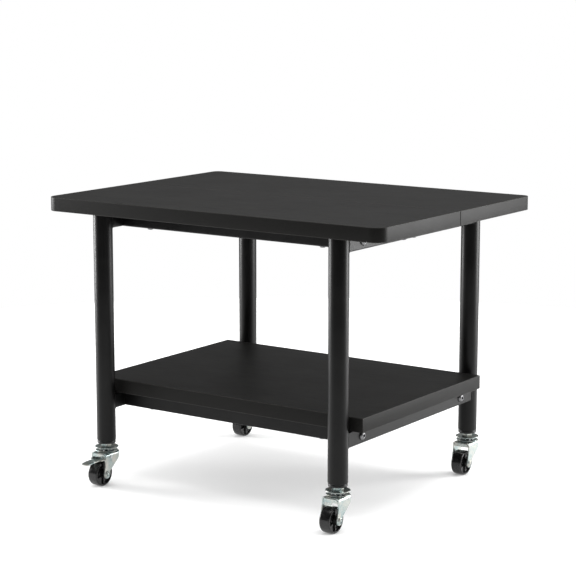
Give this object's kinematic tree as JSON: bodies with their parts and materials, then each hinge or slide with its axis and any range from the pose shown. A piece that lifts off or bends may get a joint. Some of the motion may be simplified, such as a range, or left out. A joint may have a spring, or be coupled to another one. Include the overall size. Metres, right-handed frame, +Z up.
{
  "type": "mobile printer stand",
  "caption": "Low two-tier rolling stand: black split top and shelf boards on a round-leg steel frame with swivel casters, those on the left with brakes.",
  "frame": {"origin": "on the floor under the middle of the whole outline seen from above, brake pedals included, so the middle of the top is 9.5 mm behind it", "axes": "+X along the length, left to right seen from the front; -Y is the front; +Z up"},
  "size_m": [0.512, 0.389, 0.378],
  "materials": {
    "black_laminate": "satin black laminate with a fine wood grain on particle board",
    "edge_band": "satin black plastic edge band",
    "beech": "bare fluted dowel",
    "powder_coat": "satin black powder coat with fine orange peel",
    "dark_screws": "dull nickel-plated steel",
    "bare_steel": "machined steel",
    "plug_plastic": "moulded black plastic",
    "zinc_plate": "bright zinc plate",
    "wheel_plastic": "moulded black plastic, satin"
  },
  "bodies": {
    "stand": {"top_panel_front": "black_laminate", "top_panel_back": "black_laminate", "top_band_front": "edge_band", "top_band_back": "edge_band", "panel_dowels": "beech", "shelf_board": "black_laminate", "shelf_band": "edge_band", "front_left_leg": "powder_coat", "front_right_leg": "powder_coat", "back_left_leg": "powder_coat", "back_right_leg": "powder_coat", "top_left_rail": "powder_coat", "top_right_rail": "powder_coat", "lower_left_rail": "powder_coat", "lower_right_rail": "powder_coat", "top_front_rail": "powder_coat", "top_back_rail": "powder_coat", "lower_front_rail": "powder_coat", "lower_back_rail": "powder_coat", "rail_end_blocks": "bare_steel", "rail_bolts": "dark_screws", "top_screws": "dark_screws", "shelf_screws": "dark_screws", "leg_plugs": "plug_plastic", "plug_inserts": "bare_steel", "caster_lock_nuts": "zinc_plate", "swivel_balls": "bare_steel", "front_left_stem": "zinc_plate", "front_right_stem": "zinc_plate", "back_left_stem": "zinc_plate", "back_right_stem": "zinc_plate", "front_left_dish": "zinc_plate", "front_right_dish": "zinc_plate", "back_left_dish": "zinc_plate", "back_right_dish": "zinc_plate"},
    "front_left_swivel": {"front_left_fork": "zinc_plate", "front_left_race": "zinc_plate", "front_left_axle": "zinc_plate", "front_left_pedal_pin": "zinc_plate"},
    "front_left_roll": {"front_left_wheel": "wheel_plastic", "front_left_bush": "bare_steel"},
    "front_left_brake": {"front_left_pedal": "zinc_plate"},
    "front_right_swivel": {"front_right_fork": "zinc_plate", "front_right_race": "zinc_plate", "front_right_axle": "zinc_plate"},
    "front_right_roll": {"front_right_wheel": "wheel_plastic", "front_right_bush": "bare_steel"},
    "back_left_swivel": {"back_left_fork": "zinc_plate", "back_left_race": "zinc_plate", "back_left_axle": "zinc_plate", "back_left_pedal_pin": "zinc_plate"},
    "back_left_roll": {"back_left_wheel": "wheel_plastic", "back_left_bush": "bare_steel"},
    "back_left_brake": {"back_left_pedal": "zinc_plate"},
    "back_right_swivel": {"back_right_fork": "zinc_plate", "back_right_race": "zinc_plate", "back_right_axle": "zinc_plate"},
    "back_right_roll": {"back_right_wheel": "wheel_plastic", "back_right_bush": "bare_steel"}
  },
  "joints": [
    {"name": "front_left_swivel_turn", "type": "hinge", "parent": "stand", "child": "front_left_swivel", "pos_m": [-0.182, -0.1495, 0.045], "axis": [0, 0, 1], "continuous": true},
    {"name": "front_left_wheel_spin", "type": "hinge", "parent": "front_left_swivel", "child": "front_left_roll", "pos_m": [-0.182, -0.1635, 0.0165], "axis": [1, 0, 0], "continuous": true},
    {"name": "front_left_brake_press", "type": "hinge", "parent": "front_left_swivel", "child": "front_left_brake", "pos_m": [-0.182, -0.1555, 0.0386], "axis": [1, 0, 0], "range_deg": [0, 8]},
    {"name": "front_right_swivel_turn", "type": "hinge", "parent": "stand", "child": "front_right_swivel", "pos_m": [0.182, -0.1495, 0.045], "axis": [0, 0, 1], "continuous": true},
    {"name": "front_right_wheel_spin", "type": "hinge", "parent": "front_right_swivel", "child": "front_right_roll", "pos_m": [0.182, -0.1635, 0.0165], "axis": [1, 0, 0], "continuous": true},
    {"name": "back_left_swivel_turn", "type": "hinge", "parent": "stand", "child": "back_left_swivel", "pos_m": [-0.182, 0.1685, 0.045], "axis": [0, 0, 1], "continuous": true},
    {"name": "back_left_wheel_spin", "type": "hinge", "parent": "back_left_swivel", "child": "back_left_roll", "pos_m": [-0.182, 0.1545, 0.0165], "axis": [1, 0, 0], "continuous": true},
    {"name": "back_left_brake_press", "type": "hinge", "parent": "back_left_swivel", "child": "back_left_brake", "pos_m": [-0.182, 0.1625, 0.0386], "axis": [1, 0, 0], "range_deg": [0, 8]},
    {"name": "back_right_swivel_turn", "type": "hinge", "parent": "stand", "child": "back_right_swivel", "pos_m": [0.182, 0.1685, 0.045], "axis": [0, 0, 1], "continuous": true},
    {"name": "back_right_wheel_spin", "type": "hinge", "parent": "back_right_swivel", "child": "back_right_roll", "pos_m": [0.182, 0.1545, 0.0165], "axis": [1, 0, 0], "continuous": true}
  ]
}
